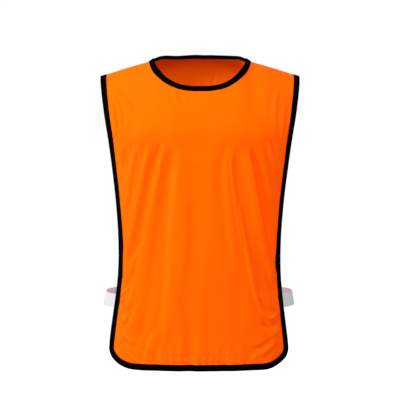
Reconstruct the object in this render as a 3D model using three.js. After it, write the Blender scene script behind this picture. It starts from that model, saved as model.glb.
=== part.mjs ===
// Mesh training bib in millimetres, +Z up, front towards -Y, +X to the right as the front is looked at.
// It is a sleeveless tabard: a front and a back of knitted mesh that meet in two shoulder seams, with tape folded
// round the neck, the armholes, the sides and the hem, and two elastic straps that join front and back at the waist.
// It is hollow and has the rounded form that it hangs in when it is worn.
// The origin is midway between the shoulder seams, where the line of the shoulders reaches the neck opening.

import * as THREE from 'three';

// Cloth
const clothThickness = 1.0;
const seamGap = 0.3;
const tapeThickness = 1.0;
const tapeWidth = 10.5;
const tapeChamferShare = 0.4;

// Shoulder line, in front view
const neckHalfWidth = 97;
const shoulderHalfWidth = 206;
const shoulderSlope = 0.42;
const shoulderRounding = 150;
const neckRise = 13;
const neckRiseHalfWidth = 94;
const neckRiseBlend = 5;

// Power of the round section of the worn bib, which is a superellipse at each level
const sectionPower = 2.3;

// Levels and hem
const apexLevel = -155;
const hemLevel = -629;
const cornerRun = 54;
const cornerRise = 40;

// Outline at each level: the half width of both panels in front view, and the half width of the round section that
// they lie on, as a multiple of it
const sideOutline = [
  { level: 20, halfWidth: 207, sectionReach: 1.14 },
  { level: -30, halfWidth: 206, sectionReach: 1.15 },
  { level: -97, halfWidth: 197, sectionReach: 1.18 },
  { level: -155, halfWidth: 187, sectionReach: 1.19 },
  { level: -215, halfWidth: 179, sectionReach: 1.16 },
  { level: -290, halfWidth: 170.5, sectionReach: 1.15 },
  { level: -365, halfWidth: 165.5, sectionReach: 1.15 },
  { level: -410, halfWidth: 165, sectionReach: 1.15 },
  { level: -450, halfWidth: 167, sectionReach: 1.15 },
  { level: -495, halfWidth: 172, sectionReach: 1.15 },
  { level: -540, halfWidth: 178, sectionReach: 1.16 },
  { level: -582, halfWidth: 183, sectionReach: 1.17 },
  { level: -640, halfWidth: 186, sectionReach: 1.19 },
];

// Side straps
const strapLevel = -494;
const strapHeight = 27;
const strapThickness = 1.5;
const strapOverlap = 9.5;
const strapClearance = 0.4;

// Share of a strap's half turn at which it starts to sink under the tape, and at which it lies fully under it
const strapSeatFrom = 0.45;
const strapSeatTo = 0.92;

// Folds: each runs down the cloth between two levels, on a line that xMiddle pulls aside between its ends, with its
// height, negative for a trough, and its half width
const frontFolds = [
  { from: -170, to: -400, xTop: -110, xMiddle: -130, xBottom: -157, height: 4, halfWidth: 11 },
  { from: -165, to: -525, xTop: -78, xMiddle: -108, xBottom: -163, height: 6.5, halfWidth: 12 },
  { from: -230, to: -605, xTop: -77, xMiddle: -99, xBottom: -140, height: -5.5, halfWidth: 14 },
  { from: -170, to: -545, xTop: -51, xMiddle: -60, xBottom: -77, height: 4.5, halfWidth: 13 },
  { from: -170, to: -605, xTop: -34, xMiddle: -22, xBottom: -30, height: -4.5, halfWidth: 13 },
  { from: -165, to: -545, xTop: 55, xMiddle: 63, xBottom: 150, height: 6, halfWidth: 12 },
  { from: -160, to: -475, xTop: 95, xMiddle: 113, xBottom: 163, height: 6.5, halfWidth: 11 },
  { from: -195, to: -490, xTop: 113, xMiddle: 128, xBottom: 172, height: -5.5, halfWidth: 12 },
  { from: -170, to: -335, xTop: 128, xMiddle: 136, xBottom: 152, height: 4, halfWidth: 11 },
];
const backFolds = [
  { from: -175, to: -560, xTop: -104, xMiddle: -124, xBottom: -146, height: 6.5, halfWidth: 12 },
  { from: -205, to: -600, xTop: -84, xMiddle: -98, xBottom: -116, height: -5, halfWidth: 14 },
  { from: -170, to: -540, xTop: -44, xMiddle: -52, xBottom: -70, height: 4.5, halfWidth: 14 },
  { from: -190, to: -590, xTop: -8, xMiddle: -4, xBottom: -16, height: -4.5, halfWidth: 15 },
  { from: -165, to: -570, xTop: 40, xMiddle: 58, xBottom: 66, height: 5.5, halfWidth: 13 },
  { from: -195, to: -600, xTop: 66, xMiddle: 84, xBottom: 96, height: -5, halfWidth: 13 },
  { from: -170, to: -520, xTop: 96, xMiddle: 118, xBottom: 150, height: 6.5, halfWidth: 12 },
];
const foldFadeShare = 0.3;
const foldSideFade = 32;

// Panels: side is the sign of Y; fall is the distance down the cloth from the shoulder line
const frontPanel = {
  side: -1,
  apexFall: 215,
  apexDepth: 115,
  hemDepth: 110,
  topTension: 0.35,
  lowTension: 0.35,
  neckDrop: 121,
  neckPower: 2.6,
  neckCornerTurn: 50,
  armFall: 92,
  neckRows: 6,
  folds: frontFolds,
};
const backPanel = {
  side: 1,
  apexFall: 245,
  apexDepth: 105,
  hemDepth: 103,
  topTension: 0.9,
  lowTension: 0.55,
  neckDrop: 54,
  neckPower: 2.5,
  neckCornerTurn: 30,
  armFall: 52,
  neckRows: 3,
  folds: backFolds,
};

// Cells of each panel's net
const shoulderColumns = 6;
const halfNeckColumns = 6;
const bodyRows = 30;
const relaxRounds = 60;
const strapCells = 14;

// Steps and rounds of the sums that find slopes, lengths and levels
const clothStep = 0.5;
const turnStep = 0.01;
const samplesPerCell = 40;
const levelRounds = 40;
const sideRounds = 12;

const meshFabric = new THREE.MeshStandardMaterial({ color: '#ff7a05', roughness: 0.75, metalness: 0 });
const bindingTape = new THREE.MeshStandardMaterial({ color: '#0c0f10', roughness: 0.8, metalness: 0 });
const elasticWebbing = new THREE.MeshStandardMaterial({ color: '#dcdcdc', roughness: 0.7, metalness: 0 });

// A column of the outline's table as a smooth curve, read at any level between its first and last
function outlineAt(level, column) {
  const rows = sideOutline;
  const last = rows.length - 1;
  const clamped = Math.min(Math.max(level, rows[last].level), rows[0].level);
  let i = 0;
  while (i < last - 1 && clamped < rows[i + 1].level) i += 1;
  const slopeAt = (k) => {
    const a = rows[Math.max(k - 1, 0)];
    const b = rows[Math.min(k + 1, last)];
    return (b[column] - a[column]) / (b.level - a.level);
  };
  const span = rows[i + 1].level - rows[i].level;
  const t = (clamped - rows[i].level) / span;
  const t2 = t * t;
  const t3 = t2 * t;
  return (
    rows[i][column] * (2 * t3 - 3 * t2 + 1) +
    rows[i + 1][column] * (3 * t2 - 2 * t3) +
    slopeAt(i) * span * (t3 - 2 * t2 + t) +
    slopeAt(i + 1) * span * (t3 - t2)
  );
}

function halfWidthAt(level) {
  return outlineAt(level, 'halfWidth');
}

function sectionHalfWidthAt(level) {
  return halfWidthAt(level) * outlineAt(level, 'sectionReach');
}

function smoothStep(from, to, value) {
  return THREE.MathUtils.smoothstep(value, from, to);
}

// Height of the shoulder line over x, which turns up at the neck; inside the neck it is where the cloth would be
function seamLevel(x) {
  const roof = Math.hypot(neckHalfWidth, shoulderRounding) - Math.hypot(x, shoulderRounding);
  const rise = neckRise / (1 + Math.exp((Math.abs(x) - neckRiseHalfWidth) / neckRiseBlend));
  return shoulderSlope * roof + rise;
}

// Distance of a panel from the plane of the shoulder seams, at or below its apex
function depthAt(panel, x, level) {
  const down = THREE.MathUtils.clamp((apexLevel - level) / (apexLevel - hemLevel), 0, 1);
  const middle = THREE.MathUtils.lerp(panel.apexDepth, panel.hemDepth, down);
  const share = Math.min(Math.abs(x) / sectionHalfWidthAt(level), 1);
  return middle * Math.pow(1 - Math.pow(share, sectionPower), 1 / sectionPower);
}

// Level and outward reach at a distance down the cloth: a curve over the shoulder to the apex, then straight down
function hangAt(panel, x, fall) {
  if (fall >= panel.apexFall) return { level: apexLevel - (fall - panel.apexFall), reach: 1 };
  const t = fall / panel.apexFall;
  const r = 1 - t;
  const reach = 3 * r * r * t * panel.topTension + 3 * r * t * t + t * t * t;
  const height = r * r * r + 3 * r * r * t + 3 * r * t * t * panel.lowTension;
  return { level: apexLevel + (seamLevel(x) - apexLevel) * height, reach };
}

function plainPoint(panel, x, fall) {
  const { level, reach } = hangAt(panel, x, fall);
  const depth = reach * depthAt(panel, x, level) + seamGap / 2;
  return new THREE.Vector3(x, panel.side * depth, level);
}

// Outward normal of a surface given as a function of x and fall
function normalOf(surface, panel, x, fall) {
  const above = Math.max(fall - clothStep, 0);
  const across = surface(panel, x + clothStep, fall).sub(surface(panel, x - clothStep, fall));
  const along = surface(panel, x, fall + clothStep).sub(surface(panel, x, above));
  return across.cross(along).multiplyScalar(panel.side).normalize();
}

function foldHeight(panel, x, level) {
  const sideFade = smoothStep(0, foldSideFade, halfWidthAt(level) - Math.abs(x));
  let height = 0;
  for (const fold of panel.folds) {
    const t = (fold.from - level) / (fold.from - fold.to);
    if (t <= 0 || t >= 1) continue;
    const line = (1 - t) * (1 - t) * fold.xTop + 2 * t * (1 - t) * fold.xMiddle + t * t * fold.xBottom;
    const fade = smoothStep(0, foldFadeShare, t) * smoothStep(0, foldFadeShare, 1 - t);
    height += fold.height * fade * Math.exp(-(((x - line) / fold.halfWidth) ** 2));
  }
  return height * sideFade;
}

// Middle of the cloth's wall, folds included
function clothPoint(panel, x, fall) {
  const point = plainPoint(panel, x, fall);
  const height = foldHeight(panel, x, point.z);
  return point.addScaledVector(normalOf(plainPoint, panel, x, fall), height);
}

function fallAtLevel(panel, x, level) {
  if (level <= apexLevel) return panel.apexFall + apexLevel - level;
  let low = 0;
  let high = panel.apexFall;
  for (let round = 0; round < levelRounds; round += 1) {
    const middle = (low + high) / 2;
    if (hangAt(panel, x, middle).level > level) low = middle;
    else high = middle;
  }
  return low;
}

// Point of the right side edge at a distance down the cloth
function sidePoint(panel, fall) {
  let x = shoulderHalfWidth;
  for (let round = 0; round < sideRounds; round += 1) x = halfWidthAt(hangAt(panel, x, fall).level);
  return { x: fall === 0 ? shoulderHalfWidth : x, fall };
}

// Points of a curve on the cloth, evenly spaced along it; curve takes 0 to 1
function evenPoints(panel, curve, cells) {
  const samples = samplesPerCell * cells;
  const places = [];
  const lengths = [0];
  for (let i = 0; i <= samples; i += 1) {
    places.push(curve(i / samples));
    if (i === 0) continue;
    const step = plainPoint(panel, places[i].x, places[i].fall)
      .distanceTo(plainPoint(panel, places[i - 1].x, places[i - 1].fall));
    lengths.push(lengths[i - 1] + step);
  }
  const total = lengths[samples];
  const points = [];
  for (let cell = 0, i = 0; cell <= cells; cell += 1) {
    const wanted = (total * cell) / cells;
    while (i < samples - 1 && lengths[i + 1] < wanted) i += 1;
    const t = THREE.MathUtils.clamp((wanted - lengths[i]) / (lengths[i + 1] - lengths[i]), 0, 1);
    points.push({
      x: THREE.MathUtils.lerp(places[i].x, places[i + 1].x, t),
      fall: THREE.MathUtils.lerp(places[i].fall, places[i + 1].fall, t),
    });
  }
  return points;
}

function joinPaths(...paths) {
  return paths.flatMap((path, i) => (i === 0 ? path : path.slice(1)));
}

// Both halves of an edge from its right half: from the left shoulder, past the middle, to the right shoulder
function bothHalves(half) {
  const left = half.map(({ x, fall }) => ({ x: -x, fall }));
  return joinPaths(left, [...half].reverse());
}

// Right half of the cut edge: armhole, side and hem, from the shoulder to the middle of the hem; the body's side
// and the hem meet halfway round the corner
function halfOuterEdge(panel) {
  const cornerFall = fallAtLevel(panel, 0, hemLevel + cornerRise);
  const cornerX = halfWidthAt(hemLevel + cornerRise) - cornerRun;
  const onArc = (turn) => ({
    x: cornerX + cornerRun * Math.cos(turn),
    fall: cornerFall + cornerRise * Math.sin(turn),
  });
  const sideLength = cornerFall - panel.armFall;
  const bodySide = (t) => {
    const along = t * (sideLength + cornerRise);
    if (along < sideLength) return sidePoint(panel, panel.armFall + along);
    return onArc(((along - sideLength) / cornerRise) * (Math.PI / 4));
  };
  const hem = (t) => {
    const along = t * (cornerX + cornerRun);
    if (along < cornerRun) return onArc((1 + along / cornerRun) * (Math.PI / 4));
    return { x: cornerX + cornerRun - along, fall: cornerFall + cornerRise };
  };
  return joinPaths(
    evenPoints(panel, (t) => sidePoint(panel, t * panel.armFall), panel.neckRows),
    evenPoints(panel, bodySide, bodyRows),
    evenPoints(panel, hem, shoulderColumns + halfNeckColumns),
  );
}

// Right half of the neck edge, from the shoulder to the middle
function halfNeckEdge(panel) {
  const onCurve = (degrees) => {
    const turn = THREE.MathUtils.degToRad(degrees);
    return {
      x: neckHalfWidth * Math.pow(Math.max(Math.cos(turn), 0), 2 / panel.neckPower),
      fall: panel.neckDrop * Math.pow(Math.sin(turn), 2 / panel.neckPower),
    };
  };
  const corner = panel.neckCornerTurn;
  return joinPaths(
    evenPoints(panel, (t) => onCurve(t * corner), panel.neckRows),
    evenPoints(panel, (t) => onCurve(corner + t * (90 - corner)), halfNeckColumns),
  );
}

// The same edge moved by the tape's width, square to it over the cloth; side is 1 for the neck, -1 for the outside
function insetEdge(panel, edge, side) {
  return edge.map((place, i) => {
    const onSeam = i === 0 || i === edge.length - 1;
    const before = edge[Math.max(i - 1, 0)];
    const after = edge[Math.min(i + 1, edge.length - 1)];
    const centre = plainPoint(panel, place.x, place.fall);
    const across = plainPoint(panel, place.x + clothStep, place.fall).sub(centre).divideScalar(clothStep);
    const along = plainPoint(panel, place.x, place.fall + clothStep).sub(centre).divideScalar(clothStep);
    const tangentX = after.x - before.x;
    const tangentFall = after.fall - before.fall;
    const shear = across.dot(along);
    const squareX = -(shear * tangentX + along.lengthSq() * tangentFall);
    const squareFall = across.lengthSq() * tangentX + shear * tangentFall;
    const x = side * (onSeam ? Math.sign(place.x) : squareX);
    const fall = onSeam ? 0 : side * squareFall;
    const length = across.multiplyScalar(x).addScaledVector(along, fall).length();
    return { x: place.x + (x * tapeWidth) / length, fall: place.fall + (fall * tapeWidth) / length };
  });
}

// Net of four-cornered cells on the flat cloth, with corners at one place shared
function newNet() {
  return { corners: [], places: new Map(), cells: [] };
}

function cornerOf(net, place) {
  const key = `${place.x.toFixed(3)} ${place.fall.toFixed(3)}`;
  if (!net.places.has(key)) {
    net.places.set(key, net.corners.length);
    net.corners.push(place);
  }
  return net.places.get(key);
}

function addCell(net, places) {
  let area = 0;
  places.forEach((a, i) => {
    const b = places[(i + 1) % places.length];
    area += a.x * b.fall - b.x * a.fall;
  });
  const [a, b, c, d] = places.map((place) => cornerOf(net, place));
  net.cells.push(area > 0 ? [a, b, c, d] : [a, d, c, b]);
}

// Strip of cells between two edges with the same number of points
function addStrip(net, edge, inset) {
  for (let i = 0; i + 1 < edge.length; i += 1) addCell(net, [edge[i], edge[i + 1], inset[i + 1], inset[i]]);
}

// Four-sided field of cells between its edges: top and bottom run left to right, left and right run down
function addField(net, { top, bottom, left, right }) {
  const columns = top.length - 1;
  const rows = left.length - 1;
  const blend = (key, i, j) => {
    const u = i / columns;
    const v = j / rows;
    const sides = (1 - u) * left[j][key] + u * right[j][key];
    const ends = (1 - v) * top[i][key] + v * bottom[i][key];
    const upper = (1 - u) * top[0][key] + u * top[columns][key];
    const lower = (1 - u) * bottom[0][key] + u * bottom[columns][key];
    return sides + ends - (1 - v) * upper - v * lower;
  };
  const field = [];
  for (let j = 0; j <= rows; j += 1) {
    field.push(top.map((_, i) => ({ x: blend('x', i, j), fall: blend('fall', i, j) })));
  }
  field[0] = top;
  field[rows] = bottom;
  for (let j = 0; j <= rows; j += 1) {
    field[j][0] = left[j];
    field[j][columns] = right[j];
  }
  for (let round = 0; round < relaxRounds; round += 1) {
    for (let j = 1; j < rows; j += 1) {
      for (let i = 1; i < columns; i += 1) {
        for (const key of ['x', 'fall']) {
          const beside = field[j][i - 1][key] + field[j][i + 1][key];
          field[j][i][key] = (field[j - 1][i][key] + field[j + 1][i][key] + beside) / 4;
        }
      }
    }
  }
  for (let j = 0; j < rows; j += 1) {
    for (let i = 0; i < columns; i += 1) {
      addCell(net, [field[j][i], field[j][i + 1], field[j + 1][i + 1], field[j + 1][i]]);
    }
  }
}

function straightPoints(from, to, cells) {
  const points = [];
  for (let i = 0; i <= cells; i += 1) {
    points.push({
      x: THREE.MathUtils.lerp(from.x, to.x, i / cells),
      fall: THREE.MathUtils.lerp(from.fall, to.fall, i / cells),
    });
  }
  return points;
}

// Cut edges of a panel, each with its inset: both run from the left shoulder to the right one
function panelEdges(panel) {
  const outer = bothHalves(halfOuterEdge(panel));
  const neck = bothHalves(halfNeckEdge(panel));
  return {
    outer,
    outerInset: insetEdge(panel, outer, -1),
    neck,
    neckInset: insetEdge(panel, neck, 1),
  };
}

// Whole net of a panel: a strip under each binding, a field on each shoulder and one field for the body
function panelNet(panel, edges) {
  const { outer, outerInset, neck, neckInset } = edges;
  const net = newNet();
  addStrip(net, outer, outerInset);
  addStrip(net, neck, neckInset);
  const arm = panel.neckRows;
  const neckLast = neckInset.length - 1;
  const outerLast = outerInset.length - 1;
  const corner = arm + bodyRows;
  const leftSeam = straightPoints(outerInset[0], neckInset[0], shoulderColumns);
  const rightSeam = straightPoints(neckInset[neckLast], outerInset[outerLast], shoulderColumns);
  const leftLine = straightPoints(outerInset[arm], neckInset[arm], shoulderColumns);
  const rightLine = straightPoints(neckInset[neckLast - arm], outerInset[outerLast - arm], shoulderColumns);
  addField(net, {
    top: leftSeam,
    bottom: leftLine,
    left: outerInset.slice(0, arm + 1),
    right: neckInset.slice(0, arm + 1),
  });
  addField(net, {
    top: rightSeam,
    bottom: rightLine,
    left: neckInset.slice(neckLast - arm).reverse(),
    right: outerInset.slice(outerLast - arm).reverse(),
  });
  addField(net, {
    top: joinPaths(leftLine, neckInset.slice(arm, neckLast - arm + 1), rightLine),
    bottom: outerInset.slice(corner, outerLast - corner + 1),
    left: outerInset.slice(arm, corner + 1),
    right: outerInset.slice(outerLast - corner, outerLast - arm + 1).reverse(),
  });
  return net;
}

// Closed mesh from points and triangles, turned so that its faces point out
function closedGeometry(points, triangles) {
  let volume = 0;
  for (const [a, b, c] of triangles) {
    volume += points[a].dot(new THREE.Vector3().crossVectors(points[b], points[c]));
  }
  const index = triangles.flatMap(([a, b, c]) => (volume > 0 ? [a, b, c] : [a, c, b]));
  const geometry = new THREE.BufferGeometry();
  geometry.setFromPoints(points);
  geometry.setIndex(index);
  geometry.computeVertexNormals();
  return geometry;
}

// Cloth wall over a net: its outer and inner faces lie half the thickness from the middle surface
function wallGeometry(panel, net) {
  const count = net.corners.length;
  const points = new Array(2 * count);
  net.corners.forEach(({ x, fall }, i) => {
    const point = clothPoint(panel, x, fall);
    const normal = normalOf(clothPoint, panel, x, fall);
    points[i] = point.clone().addScaledVector(normal, clothThickness / 2);
    points[i + count] = point.addScaledVector(normal, -clothThickness / 2);
  });
  const triangles = [];
  const addQuad = (a, b, c, d) => triangles.push([a, b, c], [a, c, d]);
  const edges = new Set();
  for (const cell of net.cells) {
    const [a, b, c, d] = cell;
    addQuad(a, b, c, d);
    triangles.push([a + count, c + count, b + count], [a + count, d + count, c + count]);
    cell.forEach((from, i) => edges.add(`${from} ${cell[(i + 1) % 4]}`));
  }
  for (const edge of edges) {
    const [from, to] = edge.split(' ').map(Number);
    if (!edges.has(`${to} ${from}`)) addQuad(to, from, from + count, to + count);
  }
  return closedGeometry(points, triangles);
}

// Where a tape lies on its panel: the cut edge and the inset edge, each with the cloth's normal
function tapeStations(panel, edge, inset) {
  return edge.map((place, i) => ({
    edge: clothPoint(panel, place.x, place.fall),
    edgeNormal: normalOf(clothPoint, panel, place.x, place.fall),
    inset: clothPoint(panel, inset[i].x, inset[i].fall),
    insetNormal: normalOf(clothPoint, panel, inset[i].x, inset[i].fall),
  }));
}

// Section of a tape folded round a cut edge: down the outside, round the edge, and back up the inside
function tapeSection({ edge, edgeNormal, inset, insetNormal }) {
  const out = edge.clone().sub(inset).normalize();
  const near = clothThickness / 2 + seamGap;
  const far = near + tapeThickness;
  const wrap = seamGap + tapeThickness;
  const chamfer = tapeChamferShare * far;
  const onEdge = (lift, reach) => edge.clone().addScaledVector(edgeNormal, lift).addScaledVector(out, reach);
  const onInset = (lift) => inset.clone().addScaledVector(insetNormal, lift);
  return [
    onInset(far),
    onEdge(far, 0),
    onEdge(chamfer, wrap),
    onEdge(-chamfer, wrap),
    onEdge(-far, 0),
    onInset(-far),
    onInset(-near),
    onEdge(-near, seamGap),
    onEdge(near, seamGap),
    onInset(near),
  ];
}

// The sides that run towards the cut edge are split the other way, and all are where the stations run backwards, so
// that each facet is split as the cloth under it is
const sidesTowardsEdge = [0, 6];
const tapeCaps = [[0, 1, 8], [0, 8, 9], [1, 2, 8], [2, 3, 7], [2, 7, 8], [3, 4, 7], [4, 5, 6], [4, 6, 7]];

function tapeGeometry(stations, closed) {
  const sections = stations.map(tapeSection);
  const sides = sections[0].length;
  const points = sections.flat();
  const triangles = [];
  const spans = closed ? sections.length : sections.length - 1;
  for (let i = 0; i < spans; i += 1) {
    const here = i * sides;
    const nextStation = (i + 1) % sections.length;
    const next = nextStation * sides;
    const backwards = Boolean(stations[i].backwards || stations[nextStation].backwards);
    for (let k = 0; k < sides; k += 1) {
      const beside = (k + 1) % sides;
      const [a, b, c, d] = [here + k, next + k, next + beside, here + beside];
      if (sidesTowardsEdge.includes(k) !== backwards) triangles.push([a, b, d], [b, c, d]);
      else triangles.push([a, b, c], [a, c, d]);
    }
  }
  if (!closed) {
    const last = spans * sides;
    for (const [a, b, c] of tapeCaps) {
      triangles.push([a, b, c], [last + a, last + c, last + b]);
    }
  }
  return closedGeometry(points, triangles);
}

// Neck tape: round the front, over one shoulder seam, round the back and over the other
function neckStations(frontEdges, backEdges) {
  const overFront = tapeStations(frontPanel, frontEdges.neck, frontEdges.neckInset);
  const fromLeft = tapeStations(backPanel, backEdges.neck, backEdges.neckInset).slice(1, -1);
  const overBack = fromLeft.reverse().map((station) => ({ ...station, backwards: true }));
  for (const station of [overFront[0], overFront.at(-1)]) {
    for (const vector of Object.values(station)) vector.y = 0;
    station.edgeNormal.normalize();
    station.insetNormal.normalize();
  }
  return [...overFront, ...overBack];
}

// Middle line of a strap in plan, by the turn round the section: positive in front, nought at the side
function strapMiddle(turn, level) {
  const panel = turn > 0 ? frontPanel : backPanel;
  const x = sectionHalfWidthAt(level) * Math.pow(Math.cos(turn), 2 / sectionPower);
  const y = depthAt(panel, 0, level) * Math.pow(Math.abs(Math.sin(turn)), 2 / sectionPower);
  return new THREE.Vector3(x, panel.side * y, level);
}

// Side strap: it starts inside the front's tape, bows out round the open side and ends inside the back's tape
function strapGeometry(side) {
  const turnAt = (x) => Math.acos(Math.pow(x / sectionHalfWidthAt(strapLevel), sectionPower / 2));
  const edgeTurn = turnAt(halfWidthAt(strapLevel));
  const endTurn = turnAt(halfWidthAt(strapLevel) - strapOverlap);
  const seat = clothThickness / 2 + seamGap + tapeThickness + strapClearance + strapThickness / 2;
  const faces = (turn, level) => {
    const along = strapMiddle(turn - turnStep, level).sub(strapMiddle(turn + turnStep, level));
    const outward = new THREE.Vector3(along.y, -along.x, 0).normalize();
    const seated = smoothStep(strapSeatFrom * edgeTurn, strapSeatTo * edgeTurn, Math.abs(turn));
    const middle = strapMiddle(turn, level).addScaledVector(outward, -seat * seated);
    return [strapThickness / 2, -strapThickness / 2].map((lift) => middle.clone().addScaledVector(outward, lift));
  };
  const points = [];
  for (let i = 0; i <= strapCells; i += 1) {
    const turn = THREE.MathUtils.lerp(endTurn, -endTurn, i / strapCells);
    const [topOut, topIn] = faces(turn, strapLevel + strapHeight / 2);
    const [lowOut, lowIn] = faces(turn, strapLevel - strapHeight / 2);
    points.push(topOut, topIn, lowIn, lowOut);
  }
  const triangles = [];
  for (let i = 0; i < strapCells; i += 1) {
    for (let k = 0; k < 4; k += 1) {
      const a = 4 * i + k;
      const b = 4 * i + ((k + 1) % 4);
      triangles.push([a, a + 4, b + 4], [a, b + 4, b]);
    }
  }
  const last = 4 * strapCells;
  triangles.push([0, 1, 2], [0, 2, 3], [last, last + 2, last + 1], [last, last + 3, last + 2]);
  const mirror = new THREE.Vector3(side, 1, 1);
  return closedGeometry(points.map((point) => point.multiply(mirror)), triangles);
}

const bib = new THREE.Group();
bib.name = 'mesh_training_bib';

function addPiece(name, geometry, material) {
  const mesh = new THREE.Mesh(geometry, material);
  mesh.name = name;
  bib.add(mesh);
}

const frontEdges = panelEdges(frontPanel);
const backEdges = panelEdges(backPanel);

addPiece('front_panel', wallGeometry(frontPanel, panelNet(frontPanel, frontEdges)), meshFabric);
addPiece('back_panel', wallGeometry(backPanel, panelNet(backPanel, backEdges)), meshFabric);
addPiece('neck_binding', tapeGeometry(neckStations(frontEdges, backEdges), true), bindingTape);
addPiece(
  'front_edge_binding',
  tapeGeometry(tapeStations(frontPanel, frontEdges.outer, frontEdges.outerInset), false),
  bindingTape,
);
addPiece(
  'back_edge_binding',
  tapeGeometry(tapeStations(backPanel, backEdges.outer, backEdges.outerInset), false),
  bindingTape,
);
addPiece('left_strap', strapGeometry(-1), elasticWebbing);
addPiece('right_strap', strapGeometry(1), elasticWebbing);

export default bib;
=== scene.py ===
# Mesh training bib, dressed over its solids. Lengths in the tables are millimetres, Blender's are metres.
import math

import bpy
import numpy as np
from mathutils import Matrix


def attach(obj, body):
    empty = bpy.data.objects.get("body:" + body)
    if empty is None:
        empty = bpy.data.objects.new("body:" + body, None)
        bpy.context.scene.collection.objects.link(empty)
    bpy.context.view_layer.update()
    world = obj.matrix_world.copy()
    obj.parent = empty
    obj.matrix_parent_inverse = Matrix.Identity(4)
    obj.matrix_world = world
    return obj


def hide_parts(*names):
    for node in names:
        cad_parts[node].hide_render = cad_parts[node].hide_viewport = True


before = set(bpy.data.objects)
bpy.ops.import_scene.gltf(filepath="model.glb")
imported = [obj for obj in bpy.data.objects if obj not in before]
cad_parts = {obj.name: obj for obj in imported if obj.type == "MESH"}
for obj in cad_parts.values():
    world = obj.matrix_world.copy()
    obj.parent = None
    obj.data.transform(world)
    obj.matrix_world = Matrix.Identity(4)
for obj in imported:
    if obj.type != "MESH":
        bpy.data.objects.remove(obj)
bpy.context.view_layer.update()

mm = 0.001
print("frame loaded")

# Form of the bib, the same as the solids have

cloth = {"thickness": 1.0, "seamGap": 0.3, "shoulderPower": 2.3}

shoulder = {
    "neckHalfWidth": 97,
    "halfWidth": 206,
    "slope": 0.42,
    "rounding": 150,
    "neckRise": 13,
    "riseHalfWidth": 94,
    "riseBlend": 5,
}

levels = {"apex": -155, "hem": -630, "cornerRun": 54, "cornerRise": 40}

# level, half width in front view, half width of the round section over it
sideOutline = np.array([
    (-640, 186, 1.19),
    (-582, 183, 1.17),
    (-540, 178, 1.16),
    (-495, 172, 1.15),
    (-450, 167, 1.15),
    (-410, 165, 1.15),
    (-365, 165.5, 1.15),
    (-290, 170.5, 1.15),
    (-215, 179, 1.16),
    (-155, 187, 1.19),
    (-97, 197, 1.18),
    (-30, 206, 1.15),
    (20, 207, 1.14),
])

# The camera of the photo, whose picture is 400 by 400 with 2.1 mm to a pixel at the shoulder seams
camera = {
    "distance": 2.6, "elevation": 4, "aim": (0, 0, -0.29), "metresWide": 0.84, "shift": 0.0012, "pixels": 400,
}

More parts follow.
